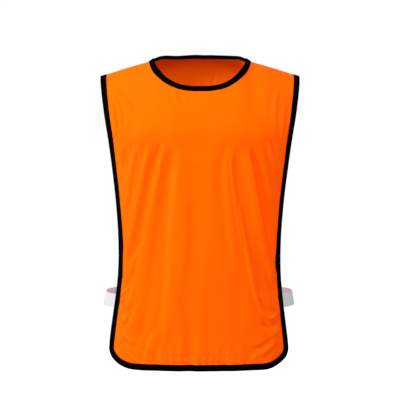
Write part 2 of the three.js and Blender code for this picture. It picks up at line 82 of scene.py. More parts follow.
# Folds of the front, read off the photo in its pixels. A fold is a step in the cloth along a line. Each row
# has its height, which is positive where the cloth rises towards the right of the picture and looks bright,
# half the width of the step, how far the cloth keeps it up to the left and to the right, the fades at both
# ends, all in mm, and the points of the line
frontFolds = [
    (6.6, 2.4, 10, 14, 22, 22, [(146.8, 141), (144, 155), (141, 167), (138, 182), (134.5, 198), (131, 214),
        (128.5, 228), (125.5, 243), (123, 258)]),
    (-6.4, 8, 12, 12, 36, 22, [(150, 147), (148, 160), (146, 172), (144, 184), (141.5, 198), (138.5, 212),
        (135, 228), (131, 244), (127, 260)]),
    (8, 2.4, 12, 17, 22, 20, [(161.3, 141), (160, 152), (157, 163), (154.5, 175), (151.5, 188),
        (148.8, 200), (146, 214), (143.5, 228), (141.5, 240), (140, 250), (137.5, 262), (134.5, 274),
        (131.5, 284), (129, 293), (125.5, 301), (120, 311)]),
    (1.6, 1.3, 4, 4, 20, 30, [(160, 160), (157.5, 175), (154.8, 188), (152.5, 200), (150, 214)]),
    (4.4, 2.4, 7, 9, 18, 14, [(142, 238), (138, 246), (133, 256), (128.5, 266), (125, 274), (121, 283)]),
    (-5.8, 11, 15, 18, 50, 20, [(164, 152), (162, 170), (160, 188), (157.8, 205), (155.5, 220), (153, 236),
        (151, 252), (149, 268), (147, 284), (144, 298), (141.5, 312), (138.5, 324), (135.5, 334),
        (133, 344)]),
    (7.8, 10, 20, 20, 36, 40, [(174, 144), (173, 165), (172, 180), (171, 195), (170, 210), (169, 225),
        (168, 240), (167, 255), (166, 270), (165, 285), (164, 300), (162.5, 315), (160.5, 330), (158, 345)]),
    (-5, 11, 18, 22, 50, 10, [(186, 185), (187, 205), (188, 222), (188, 240), (185, 258), (184, 275),
        (182, 292), (180, 305), (183, 320), (185, 340), (187, 358)]),
    (6, 3.4, 8, 9, 10, 8, [(135, 304), (131, 317), (127.5, 325), (124, 333)]),
    (3.8, 5, 8, 8, 20, 4, [(153, 327), (150.5, 336), (147.5, 344), (145, 352), (142, 363)]),
    (2.4, 5, 8, 8, 20, 4, [(164, 330), (161, 344), (158, 353), (155, 363)]),
    (4, 4, 8, 8, 8, 8, [(123, 337), (127, 342), (131, 345), (137, 344)]),
    (3.7, 4, 6, 6, 14, 14, [(134, 145), (131, 155), (128, 165), (124.5, 177), (122, 188)]),
    (-4.6, 4.5, 6, 6, 16, 16, [(137, 150), (134, 163), (131.5, 175), (129.5, 187), (127.5, 199),
        (125.5, 212)]),
    (-4.6, 4, 5, 5, 8, 8, [(126, 144), (124, 152), (123, 166)]),
    (2.8, 2.5, 4, 4, 6, 6, [(128, 213), (126, 224), (124, 233)]),
    (4.6, 2.2, 5, 6, 8, 6, [(130, 289), (125, 294), (120, 300)]),
    (-2.8, 2.5, 4, 4, 6, 6, [(126, 284), (121, 291)]),
    (-4.4, 3, 6, 6, 10, 10, [(118, 334), (121, 343), (126, 351), (132, 357), (138, 362)]),
    (4, 7, 14, 12, 34, 40, [(228.5, 143), (225.5, 155), (223.5, 165), (223, 178), (224, 192), (225, 206),
        (226.5, 220), (228, 235), (230, 250), (232, 266)]),
    (2.2, 1.9, 6, 6, 14, 30, [(228.5, 156), (230, 175), (231.5, 188), (233.5, 205), (236.5, 222),
        (239, 238), (241, 252)]),
    (3.4, 2.4, 9, 8, 40, 34, [(236, 196), (239, 214), (241.5, 230), (244, 246), (246.5, 262), (249.5, 276),
        (253, 290), (257, 302)]),
    (-5.6, 8.5, 11, 12, 32, 20, [(234, 143), (233.5, 165), (234, 180), (236, 195), (239, 210), (242, 225),
        (245, 240), (249, 255), (253, 268), (258, 280), (263, 288), (268, 295), (275, 303)]),
    (3.4, 12, 14, 8, 36, 30, [(242.4, 145), (246, 170), (249, 190), (252, 208), (255, 226), (259, 246),
        (262, 262)]),
    (-13.5, 4.8, 14, 10, 32, 46, [(247.5, 145), (251.3, 162), (254, 175), (256, 187), (258.4, 200),
        (260.6, 212), (263, 225), (265.6, 238), (268.6, 250), (272.5, 264), (276, 277), (279, 288)]),
    (2.4, 1.6, 5, 4, 20, 8, [(245.5, 144), (249, 164), (252, 178), (255, 196), (258.5, 215), (261, 228),
        (264, 240), (267, 252), (270, 262), (273.5, 272), (278, 283)]),
    (8, 6.5, 7, 9, 34, 14, [(253.5, 147), (256.8, 160), (260.4, 175), (263, 190), (266.5, 205),
        (270.4, 220), (273.6, 235)]),
    (2.2, 1.9, 7, 7, 20, 12, [(259, 147), (261, 158), (263.5, 170), (266, 182), (268.5, 194), (271.5, 205),
        (276, 217)]),
    (-4.6, 4, 6, 6, 14, 12, [(266, 163), (269, 180), (272, 192), (276, 204)]),
    (4.4, 4, 6, 6, 12, 10, [(266, 146), (269, 158), (273, 168), (278, 180)]),
    (-3.9, 3.5, 5, 5, 10, 8, [(267.5, 140), (271, 150), (274, 158), (278, 169)]),
    (3.3, 2.5, 5, 5, 8, 8, [(266, 136), (271, 139), (275, 146), (279, 153)]),
    (3.3, 2, 6, 6, 8, 8, [(266, 272), (269, 281), (272.5, 288), (276, 294), (280, 301)]),
    (3, 4, 8, 8, 10, 10, [(245, 344), (252, 347.5), (258, 345.5), (264, 342), (271, 339)]),
    (-3.4, 5, 8, 8, 12, 12, [(246, 361), (253, 355.5), (260, 350.5), (270, 343)]),
    (3.6, 3.4, 6, 6, 10, 10, [(260, 359), (266, 353), (272, 347.5), (278, 342)]),
    (5.4, 11, 11, 14, 24, 24, [(261, 292), (265, 306), (268, 322), (270, 338), (270, 352)]),
    (-2, 2.6, 5, 5, 8, 8, [(263, 361), (270, 355), (277, 348)]),
    (5.1, 2.2, 6, 6, 12, 12, [(109, 93), (113, 103), (116, 116), (117.5, 130), (119, 145), (120.5, 160)]),
    (-5.5, 3, 5, 5, 10, 10, [(111.5, 99), (113.2, 112), (114.8, 125), (116, 138)]),
    (-4.6, 3.2, 5, 6, 10, 8, [(114, 96), (118.5, 106), (121, 116), (122.5, 126)]),
    (1.8, 4, 7, 7, 10, 8, [(276, 90), (273, 98), (270.5, 107), (268.5, 116)]),
    (-3, 3, 7, 6, 10, 10, [(277.5, 94), (276.8, 104), (275.6, 116), (275.8, 130)]),
    (1.8, 3, 5, 5, 10, 12, [(284, 100), (281.5, 110), (280.2, 124), (279.6, 142)]),
    (-2.8, 3, 6, 5, 10, 10, [(287, 102), (284.5, 113), (283.4, 126), (281.6, 140)]),
    (-1.6, 2.4, 5, 5, 6, 8, [(166.5, 89), (168, 96), (169, 105)]),
    (1.6, 2.8, 5, 5, 6, 8, [(169.5, 87), (172.5, 96), (175, 106)]),
    (-1.5, 2.4, 5, 5, 6, 8, [(175, 90), (178.5, 99), (181.5, 109)]),
    (1.5, 2.8, 5, 5, 6, 8, [(177.5, 88), (181.5, 96), (185.5, 106)]),
    (-2.1, 2.4, 5, 4, 12, 10, [(127, 78), (137, 77), (149, 75)]),
    (-1.2, 2.4, 5, 4, 12, 10, [(249, 75), (258, 76), (268, 76.5)]),
    (0.7, 13, 26, 34, 24, 24, [(122, 143), (131, 147.5), (141, 150), (152, 150.5), (164, 150),
        (176, 148.5), (190, 144)]),
    (0.6, 13, 26, 34, 24, 24, [(206, 146), (220, 149.5), (232, 151), (244, 150.5), (256, 149), (268, 144)]),
]
# Pleats that run up from the hem tape: place at the hem, step in mm, lean to the top, length
hemPleats = [
    (137, -1.2, 1, 9), (152, -1.7, 1, 18), (158, 1.5, 3, 16), (166, -1.2, 1, 14), (173, -1.7, 0, 23),
    (178, 1.6, 0, 21), (187, -1.5, -1, 21), (193, 1.8, 1, 14), (198, -1.7, 2, 10), (202, 1.2, 2, 14),
    (205.5, -1.1, 3, 12), (208.5, 1.2, 3, 14), (212, -1.2, 3, 13), (214.5, 0.8, 2, 18), (218, -1.9, 0, 18),
    (226, 1.5, 0, 21), (232, -1.1, 2, 10), (238, 1.5, 1, 23), (244, -1.7, 2, 10),
]
# What all pleats share, in the terms of a fold, and in pixels their foot under the tape, the row that their
# length is counted from, the photo's middle, about which the back's are mirrored, and how far those then move
pleat = {
    "edge": 3.2,
    "keep": 6,
    "fadeIn": 10,
    "fadeOut": 1,
    "bend": 0.3,
    "foot": 368,
    "from": 364,
    "middle": 199.5,
    "backShift": 3,
}
# Ridges and troughs: height, widths to the left and the right, fades at both ends, points
frontSwells = [
    (-2.8, 6, 6, 22, 24, [(114, 87), (121, 91), (127, 97.5), (133, 104.5), (138, 110), (143, 115)]),
    (1.8, 34, 50, 30, 30, [(126, 130), (146, 135), (166, 134), (186, 128)]),
    (1.8, 34, 50, 30, 30, [(210, 131), (230, 136), (252, 134), (268, 128)]),
    (-1.4, 18, 18, 26, 26, [(193, 130), (192, 146), (191, 164)]),
    (3.2, 3.6, 4, 30, 12, [(247, 266), (249.5, 276), (253, 290), (257.5, 304), (262, 313), (268, 318.5),
        (274, 316), (279, 308)]),
    (3, 5.4, 5.4, 14, 12, [(257, 291), (262, 298), (267, 303.5), (273, 308), (278, 311)]),
    (2.2, 3.6, 3.6, 12, 12, [(260.5, 328), (264, 333), (269, 336), (274, 333), (280, 326)]),
    (-1.7, 4.4, 4.4, 12, 12, [(261, 322), (266, 327), (272, 326), (277, 320)]),
    (2.6, 3, 3, 8, 8, [(119, 322), (124, 320), (128, 315)]),
    (2.6, 2.5, 3, 6, 6, [(120, 296), (125, 291), (130, 286)]),
]
backFolds = [
    (5.1, 2.6, 10, 14, 14, 20, [(150, 148), (146, 172), (141, 198), (136, 224), (130, 250), (124, 276)]),
    (-6.2, 7, 9, 10, 24, 24, [(156, 156), (153, 180), (149, 206), (144, 234), (138, 262), (131, 290),
        (125, 308)]),
    (4.9, 2.4, 10, 14, 14, 34, [(170, 144), (168, 170), (164, 200), (160, 232), (156, 262), (151, 292),
        (145, 316)]),
    (-5.4, 8, 10, 12, 30, 24, [(177, 160), (175, 196), (172, 230), (169, 268), (165, 304), (160, 336)]),
    (4.1, 9, 12, 11, 24, 40, [(189, 150), (190, 186), (189, 224), (187, 262), (184, 300), (181, 338)]),
    (-3.5, 8, 10, 10, 40, 20, [(203, 178), (204, 214), (203, 250), (205, 286), (207, 324), (206, 352)]),
    (4.6, 2.6, 10, 12, 16, 26, [(216, 146), (219, 172), (223, 204), (227, 236), (231, 268), (236, 298),
        (242, 322)]),
    (-4.9, 7, 9, 10, 22, 24, [(223, 152), (227, 184), (232, 216), (237, 248), (243, 280), (250, 308)]),
    (2.4, 9, 10, 8, 20, 30, [(234, 156), (240, 190), (246, 222), (253, 254)]),
    (-8.6, 6.5, 9, 9, 14, 22, [(241, 147), (247, 172), (252, 198), (257, 224), (263, 250), (270, 274)]),
    (2.4, 1.5, 5, 4, 20, 10, [(238.5, 146), (244, 172), (249, 200), (255, 228), (261, 254), (268, 276),
        (277, 296)]),
    (3, 2.2, 7, 7, 16, 12, [(256, 148), (260, 168), (265, 190), (270, 210), (277, 228)]),
    (-3, 4, 6, 6, 14, 12, [(262, 154), (267, 176), (273, 196)]),
    (3.2, 2.2, 6, 7, 12, 10, [(139, 150), (134, 172), (129, 194), (123, 214)]),
    (-3, 4, 6, 6, 12, 12, [(132, 150), (127, 170), (123, 188)]),
    (2.6, 2.2, 6, 6, 10, 10, [(262, 292), (268, 302), (274, 308), (280, 309)]),
    (2.4, 2.6, 6, 6, 10, 10, [(138, 300), (132, 314), (125, 326), (119, 334)]),
    (3, 2.2, 6, 6, 12, 12, [(110, 92), (114, 106), (117, 122), (119, 140), (121, 158)]),
    (-3, 3, 5, 5, 10, 10, [(115, 92), (119, 106), (122, 120)]),
    (-3.8, 2.6, 6, 5, 10, 10, [(279, 92), (277.5, 106), (276.5, 122), (277, 136)]),
    (2.7, 3, 5, 5, 10, 12, [(285, 100), (282, 114), (280.5, 130)]),
    (-1.6, 2.4, 5, 5, 8, 10, [(182, 66), (184, 76), (187, 88)]),
    (1.6, 2.6, 5, 5, 8, 10, [(214, 66), (212, 77), (208, 90)]),
    (3, 9, 18, 24, 24, 24, [(128, 130), (146, 138), (166, 141), (188, 139)]),
    (3, 9, 18, 24, 24, 24, [(210, 139), (232, 141), (252, 138), (270, 130)]),
    (-2.4, 3, 6, 6, 8, 8, [(128, 350), (136, 346), (146, 344)]),
    (3, 3.4, 6, 6, 8, 8, [(252, 358), (260, 352), (269, 345), (277, 338)]),
]
backSwells = [
    (2, 34, 28, 34, 34, [(134, 112), (152, 116), (172, 114)]),
    (2, 34, 28, 34, 34, [(224, 114), (244, 116), (262, 112)]),
    (-1.6, 16, 16, 24, 24, [(199, 96), (199, 120), (199, 146)]),
]

# Creases fade towards the sides and the shoulder seams: over how much cloth, and the share left at a side
creaseFade = {"side": 14, "atSide": 0.15, "seam": 24}

# The bib hangs a little to the right at the chest and to the left at the hem: level, shift
sway = np.array([
    (-660, -1.3), (-540, -1.6), (-440, -0.3), (-300, 0.6), (-200, 1.1), (-60, 1.2), (0, 0.8), (30, 0.8),
])

# Soft waves along the hem: length, height and shift of each, and how far up they are full and gone
hemWaves = {"waves": [(61, 0.8, 0.4), (37, 0.5, 2.1)], "full": 5, "fade": 85}

# A faint unevenness all over: wave length across and down, height, shift
slightWaves = [
    (63, 900, 0.3, 0.3), (47, -620, 0.22, 1.9), (-31, 410, 0.12, 4.0),
    (150, 95, 0.16, 2.6), (-120, 61, 0.1, 5.1),
]

# What sets the two panels apart
frontPanel = {
    "side": -1,
    "apexFall": 215,  # down the cloth from the seam to the chest, below which it hangs straight
    "apexDepth": 115,
    "hemDepth": 110,
    "topTension": 0.35,  # how far the cloth keeps its way out from the seam
    "lowTension": 0.35,  # and its way down to the chest
    "neckDrop": 120,
    "neckPower": 2.6,  # 2 is an ellipse, more is squarer
    "neckCornerTurn": 50,  # degrees round the neck at which the net turns its corner
    "armFall": 92,  # down the cloth to the same corner at the armhole
    "folds": frontFolds,
    "swells": frontSwells,
    "waveShift": 0.0,
}
backPanel = {
    "side": 1,
    "apexFall": 245,
    "apexDepth": 105,
    "hemDepth": 103,
    "topTension": 0.9,
    "lowTension": 0.55,
    "neckDrop": 54,
    "neckPower": 2.5,
    "neckCornerTurn": 30,
    "armFall": 52,
    "folds": backFolds,
    "swells": backSwells,
    "waveShift": 2.3,
}


# Smooth curve through points, whose places along it rise
def smoothCurve(places, values, at):
    at = np.clip(at, places[0], places[-1])
    if len(places) > 2:
        slopes = np.gradient(values, places)
    else:
        slopes = np.full(2, (values[1] - values[0]) / (places[1] - places[0]))
    i = np.clip(np.searchsorted(places, at, side="right") - 1, 0, len(places) - 2)
    span = places[i + 1] - places[i]
    t = (at - places[i]) / span
    t2, t3 = t * t, t * t * t
    return (values[i] * (2 * t3 - 3 * t2 + 1) + values[i + 1] * (3 * t2 - 2 * t3)
            + slopes[i] * span * (t3 - 2 * t2 + t) + slopes[i + 1] * span * (t3 - t2))


def smoothStep(low, high, value):
    t = np.clip((value - low) / (high - low), 0, 1)
    return t * t * (3 - 2 * t)


def halfWidthAt(level):
    return smoothCurve(sideOutline[:, 0], sideOutline[:, 1], level)


def sectionHalfWidthAt(level):
    return halfWidthAt(level) * smoothCurve(sideOutline[:, 0], sideOutline[:, 2], level)


# Height of the shoulder line, which turns up at the neck
def seamLevel(x):
    roof = np.hypot(shoulder["neckHalfWidth"], shoulder["rounding"]) - np.hypot(x, shoulder["rounding"])
    outward = (np.abs(x) - shoulder["riseHalfWidth"]) / shoulder["riseBlend"]
    return shoulder["slope"] * roof + shoulder["neckRise"] / (1 + np.exp(outward))


# Distance of a panel from the plane of the shoulder seams
def depthAt(panel, x, level):
    down = np.clip((levels["apex"] - level) / (levels["apex"] - levels["hem"]), 0, 1)
    middle = panel["apexDepth"] + (panel["hemDepth"] - panel["apexDepth"]) * down
    share = np.minimum(np.abs(x) / sectionHalfWidthAt(level), 1)
    power = cloth["shoulderPower"]
    return middle * (1 - share ** power) ** (1 / power)


# Level and reach outwards at a distance down the cloth, over the shoulder and then straight down
def hangAt(panel, x, fall):
    x, fall = np.broadcast_arrays(np.asarray(x, float), np.asarray(fall, float))
    t = np.clip(fall / panel["apexFall"], 0, 1)
    r = 1 - t
    reach = 3 * r * r * t * panel["topTension"] + 3 * r * t * t + t * t * t
    height = r * r * r + 3 * r * r * t + 3 * r * t * t * panel["lowTension"]
    onShoulder = levels["apex"] + (seamLevel(x) - levels["apex"]) * height
    below = levels["apex"] - (fall - panel["apexFall"])
    return np.where(fall < panel["apexFall"], onShoulder, below), reach


def swayAt(level):
    return smoothCurve(sway[:, 0], sway[:, 1], level)


def plainPoint(panel, x, fall):
    x, fall = np.broadcast_arrays(np.asarray(x, float), np.asarray(fall, float))
    level, reach = hangAt(panel, x, fall)
    y = panel["side"] * (reach * depthAt(panel, x, level) + cloth["seamGap"] / 2)
    return np.stack([x + swayAt(level), y, level], -1)


def unit(vectors):
    return vectors / np.linalg.norm(vectors, axis=-1, keepdims=True)


def normalOf(surface, panel, x, fall, step=0.5):
    across = surface(panel, x + step, fall) - surface(panel, x - step, fall)
    along = surface(panel, x, fall + step) - surface(panel, x, np.maximum(fall - step, 0))
    return panel["side"] * unit(np.cross(across, along))


turnPower = 1.5  # how the front turns back above the chest, near enough to find a place of the photo


# Places of the photo as x and level on the front
def fromPhoto(points):
    points = np.array(points, float)
    rise = math.radians(camera["elevation"])
    focal = camera["pixels"] * camera["distance"] / camera["metresWide"]
    forward = np.array([0, math.cos(rise), -math.sin(rise)])
    up = np.array([0, math.sin(rise), math.cos(rise)])
    eyeAt = (np.array(camera["aim"]) - camera["distance"] * forward) / mm
    middle = camera["pixels"] / 2
    ray = forward + (middle - points[:, 1:]) / focal * up
    ray[:, 0] += (points[:, 0] - middle) / focal + camera["shift"]
    y = np.full(len(points), -100.0)  # a first guess, which each round makes better
    for _ in range(20):
        place = eyeAt + ray * ((y - eyeAt[1]) / ray[:, 1])[:, None]
        above = np.clip((place[:, 2] - levels["apex"]) / -levels["apex"], 0, 1)
        y = -depthAt(frontPanel, place[:, 0], place[:, 2]) * (1 - above ** turnPower) ** (1 / turnPower)
    return place[:, ::2]


# Smooth line through a crease's points in small steps, with the length along it
def smoothLine(points, step=2.5):
    points = fromPhoto(points)
    lengths = np.concatenate([[0], np.cumsum(np.hypot(*np.diff(points, axis=0).T))])
    at = np.linspace(0, lengths[-1], max(int(lengths[-1] / step), 4) + 1)
    return np.stack([smoothCurve(lengths, points[:, 0], at), smoothCurve(lengths, points[:, 1], at)], -1), at


# All creases of a panel in the terms of a fold, each with its smooth line. A ridge or trough has 0 for the
# width of its step
def readyCreases(panel):
    pleats = []
    shared = (pleat["edge"], pleat["keep"], pleat["keep"], pleat["fadeIn"], pleat["fadeOut"])
    for at, step, lean, length in hemPleats:
        top, middle = pleat["from"] - length, pleat["from"] - length / 2
        points = [(at + lean, top), (at + lean * pleat["bend"], middle), (at, pleat["foot"])]
        if panel["side"] > 0:
            step = -step
            points = [(2 * pleat["middle"] - across - pleat["backShift"], down) for across, down in points]
        pleats.append((step,) + shared + (points,))
    swells = [(row[0], 0) + row[1:] for row in panel["swells"]]
    return [row[:6] + smoothLine(row[6]) for row in panel["folds"] + pleats + swells]


# How far each place lies to the right of a line that runs down, and how far along it
def offLine(line, lengths, x, level):
    nearest = np.argmin((x[:, None] - line[:, 0]) ** 2 + (level[:, None] - line[:, 1]) ** 2, axis=1)
    i = np.clip(nearest, 1, len(line) - 2)
    way = unit(line[i + 1] - line[i - 1])
    dx, dz = x - line[i, 0], level - line[i, 1]
    return way[:, 0] * dz - way[:, 1] * dx, lengths[i] + way[:, 0] * dx + way[:, 1] * dz


def creaseHeight(panel, x, level):
    if "ready" not in panel:
        panel["ready"] = readyCreases(panel)
    shape = x.shape
    x, level = x.ravel(), level.ravel()
    height = np.zeros(len(x))
    for step, edge, left, right, fadeIn, fadeOut, line, lengths in panel["ready"]:
        reach = 3 * max(left, right)  # nothing of a crease is left beyond that
        low, high = line.min(axis=0) - reach, line.max(axis=0) + reach
        near = (x > low[0]) & (x < high[0]) & (level > low[1]) & (level < high[1])
        if not near.any():
            continue
        off, along = offLine(line, lengths, x[near], level[near])
        fade = smoothStep(0, fadeIn, along) * smoothStep(0, fadeOut, lengths[-1] - along)
        bell = np.exp(-(off / np.where(off < 0, left, right)) ** 2)
        height[near] += fade * bell * (step / 2 * np.tanh(off / edge) if edge else step)
    nearHem = smoothStep(levels["hem"] + hemWaves["fade"], levels["hem"] + hemWaves["full"], level)
    for length, size, shift in hemWaves["waves"]:
        height += nearHem * size * np.sin(2 * math.pi * x / length + shift + panel["waveShift"])
    for across, down, size, shift in slightWaves:
        height += size * np.sin(2 * math.pi * (x / across + level / down) + shift + panel["waveShift"])
    inFromSide = smoothStep(0, creaseFade["side"], halfWidthAt(level) - np.abs(x))
    return (height * (creaseFade["atSide"] + (1 - creaseFade["atSide"]) * inFromSide)).reshape(shape)


# Middle of the cloth, creases included
def clothPoint(panel, x, fall):
    point = plainPoint(panel, x, fall)
    fromSeam = smoothStep(0, creaseFade["seam"], fall)
    height = creaseHeight(panel, point[..., 0], point[..., 2]) * fromSeam
    return point + normalOf(plainPoint, panel, x, fall) * height[..., None]


# Places on the side edge, whose level and distance from the middle depend on each other
def sidePlaces(panel, fall):
    x = np.full_like(fall, shoulder["halfWidth"])
    for _ in range(12):
        x = halfWidthAt(hangAt(panel, x, fall)[0])
    return np.stack([np.where(fall == 0, shoulder["halfWidth"], x), fall], -1)


# Places at given shares of the length of a finely drawn line on the cloth
def placesAt(panel, line, shares):
    length = lengthsAlong(plainPoint(panel, line[:, 0], line[:, 1]))
    wanted = np.asarray(shares) * length[-1]
    return np.stack([np.interp(wanted, length, line[:, 0]), np.interp(wanted, length, line[:, 1])], -1)


def lengthOf(panel, line):
    return np.linalg.norm(np.diff(plainPoint(panel, line[:, 0], line[:, 1]), axis=0), axis=1).sum()


finePlaces = {"arm": 200, "side": 600, "corner": 81, "hem": 100, "neck": 400}  # on each finely drawn stretch


# Right half of the cut edge in three stretches, split in the armhole and halfway round the corner
def outerStretches(panel):
    run, rise = levels["cornerRun"], levels["cornerRise"]
    cornerTop = levels["hem"] + rise
    cornerFall = panel["apexFall"] + levels["apex"] - cornerTop
    cornerX = float(halfWidthAt(np.array(cornerTop))) - run
    turn = np.linspace(0, math.pi / 2, finePlaces["corner"])
    halfTurn = finePlaces["corner"] // 2
    arc = np.stack([cornerX + run * np.cos(turn), cornerFall + rise * np.sin(turn)], -1)
    arm = sidePlaces(panel, np.linspace(0, panel["armFall"], finePlaces["arm"]))
    side = sidePlaces(panel, np.linspace(panel["armFall"], cornerFall, finePlaces["side"]))
    hem = np.array([(cornerX * t, cornerFall + rise) for t in np.linspace(1, 0, finePlaces["hem"])])
    return arm, np.concatenate([side[:-1], arc[:halfTurn + 1]]), np.concatenate([arc[halfTurn:-1], hem])


# Right half of the neck edge in two stretches, split at its corner
def neckStretches(panel):
    def curve(degrees):
        turn = np.radians(degrees)
        power = 2 / panel["neckPower"]
        x = shoulder["neckHalfWidth"] * np.maximum(np.cos(turn), 0) ** power
        return np.stack([x, panel["neckDrop"] * np.sin(turn) ** power], -1)
    corner, count = panel["neckCornerTurn"], finePlaces["neck"]
    return curve(np.linspace(0, corner, count)), curve(np.linspace(corner, 90, count))


def mirrored(line):
    return line * np.array([-1, 1])


def joined(*lines):
    return np.concatenate([lines[0]] + [line[1:] for line in lines[1:]])


# Whole edge from the left shoulder to the right one
def wholeEdge(stretches):
    half = joined(*stretches)
    return joined(mirrored(half), half[::-1])


# Cells of a panel's net, about 1.7 mm across and 3.3 mm down, and closer together at the shoulder seams
net = {"shoulder": 54, "halfNeck": 54, "body": 190, "arm": 30, "seamCrowding": 1.35}


# Four-sided field of places between its edges: top and bottom run left to right, the others run down
def fieldBetween(top, bottom, left, right):
    u = np.linspace(0, 1, len(top))[None, :, None]
    v = np.linspace(0, 1, len(left))[:, None, None]
    sides = (1 - u) * left[:, None] + u * right[:, None]
    ends = (1 - v) * top[None] + v * bottom[None]
    corners = (1 - v) * ((1 - u) * top[0] + u * top[-1]) + v * ((1 - u) * bottom[0] + u * bottom[-1])
    return sides + ends - corners


# Net of a panel in three fields: both shoulders and all below
def panelFields(panel):
    even = np.linspace(0, 1, net["body"] + 1)
    fromSeam = np.linspace(0, 1, net["arm"] + 1) ** net["seamCrowding"]
    alongNeck = np.linspace(0, 1, net["halfNeck"] + 1)
    alongHem = np.linspace(0, 1, net["shoulder"] + net["halfNeck"] + 1)
    across = np.linspace(0, 1, net["shoulder"] + 1)[:, None]
    arm, side, hem = outerStretches(panel)
    cornerNeck, midNeck = neckStretches(panel)
    armR = placesAt(panel, arm, fromSeam)
    sideR = placesAt(panel, side, even)
    hemR = placesAt(panel, hem, alongHem)
    neckR = placesAt(panel, cornerNeck, fromSeam)
    midR = placesAt(panel, midNeck, alongNeck)
    seamR = neckR[0] + (armR[0] - neckR[0]) * across
    lineR = neckR[-1] + (armR[-1] - neckR[-1]) * across
    right = fieldBetween(seamR, lineR, neckR, armR)
    left = right[:, ::-1] * np.array([-1, 1])
    top = joined(mirrored(lineR)[::-1], mirrored(midR), midR[::-1], lineR)
    bottom = joined(mirrored(hemR), hemR[::-1])
    body = fieldBetween(top, bottom, mirrored(sideR), sideR)
    return [left, right, body]


# How far a place is from the middle of its panel, measured over the cloth
def acrossLength(panel, x, fall, steps=16):
    total = np.zeros_like(x)
    before = plainPoint(panel, np.zeros_like(x), fall)
    for i in range(1, steps + 1):
        here = plainPoint(panel, x * i / steps, fall)
        total += np.linalg.norm(here - before, axis=-1)
        before = here
    return np.sign(x) * total


uvSpan = 800  # millimetres of cloth from 0 to 1 of a map
uvTop = 0.95  # where the shoulder seam lies in a panel's map


# Length along a row of points, from 0 at the first
def lengthsAlong(points):
    return np.concatenate([[0], np.cumsum(np.linalg.norm(np.diff(points, axis=0), axis=1))])


def gridFaces(rows, columns, start=0):
    index = start + np.arange(rows * columns).reshape(rows, columns)
    return np.stack([index[:-1, :-1], index[1:, :-1], index[1:, 1:], index[:-1, 1:]], -1).reshape(-1, 4)


def meshObject(name, points, faces, uvs):
    mesh = bpy.data.meshes.new(name)
    mesh.from_pydata((points * mm).tolist(), [], faces)
    layer = mesh.uv_layers.new(name="clothMap")
    corners = np.empty(len(mesh.loops), np.int32)
    mesh.loops.foreach_get("vertex_index", corners)
    layer.data.foreach_set("uv", uvs[corners].ravel())
    piece = bpy.data.objects.new(name, mesh)
    bpy.context.collection.objects.link(piece)
    return piece


def makeActive(piece):
    bpy.ops.object.select_all(action="DESELECT")
    piece.select_set(True)
    bpy.context.view_layer.objects.active = piece


def finishMesh(piece, angle=50, outwards=True):
    makeActive(piece)
    bpy.ops.object.mode_set(mode="EDIT")
    bpy.ops.mesh.select_all(action="SELECT")
    bpy.ops.mesh.remove_doubles(threshold=0.00001)
    if outwards:
        bpy.ops.mesh.normals_make_consistent(inside=False)
    bpy.ops.object.mode_set(mode="OBJECT")
    bpy.ops.object.shade_smooth_by_angle(angle=math.radians(angle))


# Gives a sheet its wall, half of it to each side
def thicken(piece, thickness, innerSlot=0):
    makeActive(piece)
    wall = piece.modifiers.new("wall", "SOLIDIFY")
    wall.thickness = thickness * mm
    wall.offset = 0
    wall.material_offset = innerSlot
    bpy.ops.object.modifier_apply(modifier=wall.name)


def panelPiece(name, panel):
    places, faces, start = [], [], 0
    for field in panelFields(panel):
        rows, columns = field.shape[:2]
        cells = gridFaces(rows, columns, start)
        faces += (cells if panel["side"] < 0 else cells[:, ::-1]).tolist()
        places.append(field.reshape(-1, 2))
        start += rows * columns
    places = np.concatenate(places)
    x, fall = places[:, 0], places[:, 1]
    uvs = np.stack([0.5 + acrossLength(panel, x, fall) / uvSpan, uvTop - fall / uvSpan], -1)
    piece = meshObject(name, clothPoint(panel, x, fall), faces, uvs)
    finishMesh(piece, outwards=False)
    piece.data.materials.append(meshPaintedGlow)
    piece.data.materials.append(meshInsidePaintedShade)
    thicken(piece, cloth["thickness"], innerSlot=1)
    return piece


# Tape folded round a cut edge, made from one section and stations along the edge
tape = {
    "edgeWidth": 12.3,
    "neckWidth": 11.2,
    "thickness": 0.9,
    "gap": 0.12,  # to the cloth
    "station": 2.6,
    "flat": 5.0,  # reach in from the edge at which it lies flat
    "pucker": 0.12,
    "puckerLength": 9.0,
    "puckerBand": (1, 9.5),  # reaches between which the sewing puckers it
    "drift": 1.5,  # how much the puckers wander, and over what length
    "driftLength": 31,
}
tapeNear = cloth["thickness"] / 2 + tape["gap"]
tapeFar = tapeNear + tape["thickness"]


# Section of the tape: reach in from the cut edge, lift from the middle of the cloth, way past the edge
def tapeSection(width):
    outside = [  # thin at its free edge and a little crowned over its face
        (width, tapeFar - 0.35, 0),
        (width - 0.6, tapeFar - 0.03, 0),
        (width - 2.3, tapeFar - 0.12, 0),
        (tape["flat"], tapeFar + 0.06, 0),
        (1.6, tapeFar + 0.02, 0),
    ]
    turns = [math.radians(turn) for turn in range(0, 181, 20)]
    fold = [(0, tapeFar * math.cos(turn), tapeFar * math.sin(turn)) for turn in turns]
    under = [(reach, -lift, past) for reach, lift, past in outside[::-1]]
    inner = [
        (width - 0.2, -tapeNear, 0),
        (tape["flat"], -tapeNear, 0),
        (0, -tapeNear, 0.1),
        (0, -tapeNear * 0.4, 0.5),
    ]
    return outside + fold + under + inner + [(reach, -lift, past) for reach, lift, past in inner[::-1]]


inwards = {"neck": 1, "outer": -1}  # way into the cloth from an edge drawn from left to right


